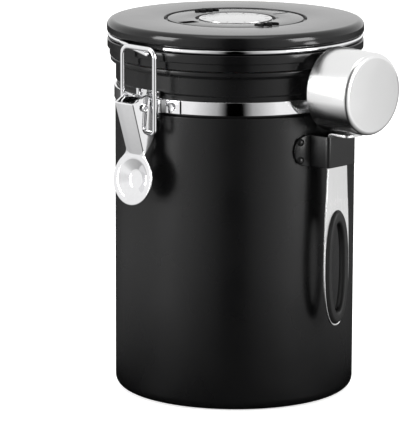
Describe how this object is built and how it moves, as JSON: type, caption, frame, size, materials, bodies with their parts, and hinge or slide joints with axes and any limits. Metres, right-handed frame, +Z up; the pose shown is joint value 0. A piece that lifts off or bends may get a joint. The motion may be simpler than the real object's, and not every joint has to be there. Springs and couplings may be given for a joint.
{
  "type": "vacuum coffee canister",
  "caption": "Round steel canister with a hinged clamp lid, wire toggle latch, date dials, gas valve, and a scoop hung in a side strap.",
  "frame": {"origin": "centre of the flat base, on the surface that the canister stands on", "axes": "+Z up along the can's axis, -Y towards the latch, +Y towards the lid's hinge, the scoop near +X"},
  "size_m": [0.1577, 0.1466, 0.1872],
  "materials": {
    "satin_black_coat": "satin black coat on steel",
    "gloss_black_plastic": "glossy black moulded plastic",
    "grey_dial_plastic": "silver grey dial",
    "silver_disc": "spun silver disc",
    "white_print_ring": "white ring with plain numbers",
    "polished_steel": "polished steel",
    "brushed_steel": "brushed stainless steel",
    "black_rubber": "matt black rubber",
    "silicone": "milky silicone",
    "filter_mesh": "fine white filter"
  },
  "bodies": {
    "can": {"canister_body": "satin_black_coat", "neck_band": "polished_steel", "hinge_plate": "polished_steel", "hinge_rivet_1": "polished_steel", "hinge_rivet_2": "polished_steel", "latch_base": "polished_steel", "latch_pin": "polished_steel", "scoop_strap": "satin_black_coat", "strap_rivet_1": "satin_black_coat", "strap_rivet_2": "satin_black_coat", "strap_rivet_3": "satin_black_coat", "strap_rivet_4": "satin_black_coat"},
    "lid": {"lid_base": "gloss_black_plastic", "lid_gasket": "silicone", "lid_cover": "gloss_black_plastic", "lid_screw_1": "polished_steel", "lid_screw_2": "polished_steel", "lid_screw_3": "polished_steel", "lid_screw_4": "polished_steel", "lid_ring_wire": "polished_steel", "number_ring": "white_print_ring", "dial_hub": "polished_steel", "valve_body": "gloss_black_plastic", "valve_flap": "silicone", "valve_filter": "filter_mesh", "valve_cap": "gloss_black_plastic"},
    "date_dial": {"date_dial": "grey_dial_plastic"},
    "month_disc": {"month_disc": "silver_disc"},
    "lever": {"latch_lever": "polished_steel"},
    "loop": {"latch_loop": "polished_steel"},
    "scoop": {"scoop_bowl": "brushed_steel", "scoop_handle": "brushed_steel", "scoop_grip": "black_rubber"}
  },
  "joints": [
    {"name": "lid_hinge", "type": "hinge", "parent": "can", "child": "lid", "pos_m": [0, 0.0665, 0.151], "axis": [-1, 0, 0], "range_deg": [0, 110]},
    {"name": "latch_lever_hinge", "type": "hinge", "parent": "can", "child": "lever", "pos_m": [0, -0.0709, 0.1503], "axis": [-1, 0, 0], "range_deg": [0, 110]},
    {"name": "latch_loop_hinge", "type": "hinge", "parent": "lever", "child": "loop", "pos_m": [0, -0.06755, 0.13763], "axis": [-1, 0, 0], "range_deg": [-137.5, 0]},
    {"name": "date_dial_turn", "type": "hinge", "parent": "lid", "child": "date_dial", "pos_m": [0, 0, 0.1866], "axis": [0, 0, 1], "continuous": true},
    {"name": "month_disc_turn", "type": "hinge", "parent": "lid", "child": "month_disc", "pos_m": [0, 0, 0.1866], "axis": [0, 0, 1], "continuous": true},
    {"name": "scoop_lift", "type": "slide", "parent": "can", "child": "scoop", "axis": [0, 0, 1], "range_m": [0, 0.105]}
  ],
  "couplings": [
    {"joint": "latch_loop_hinge", "follows": "latch_lever_hinge", "ratio": -1.25}
  ]
}
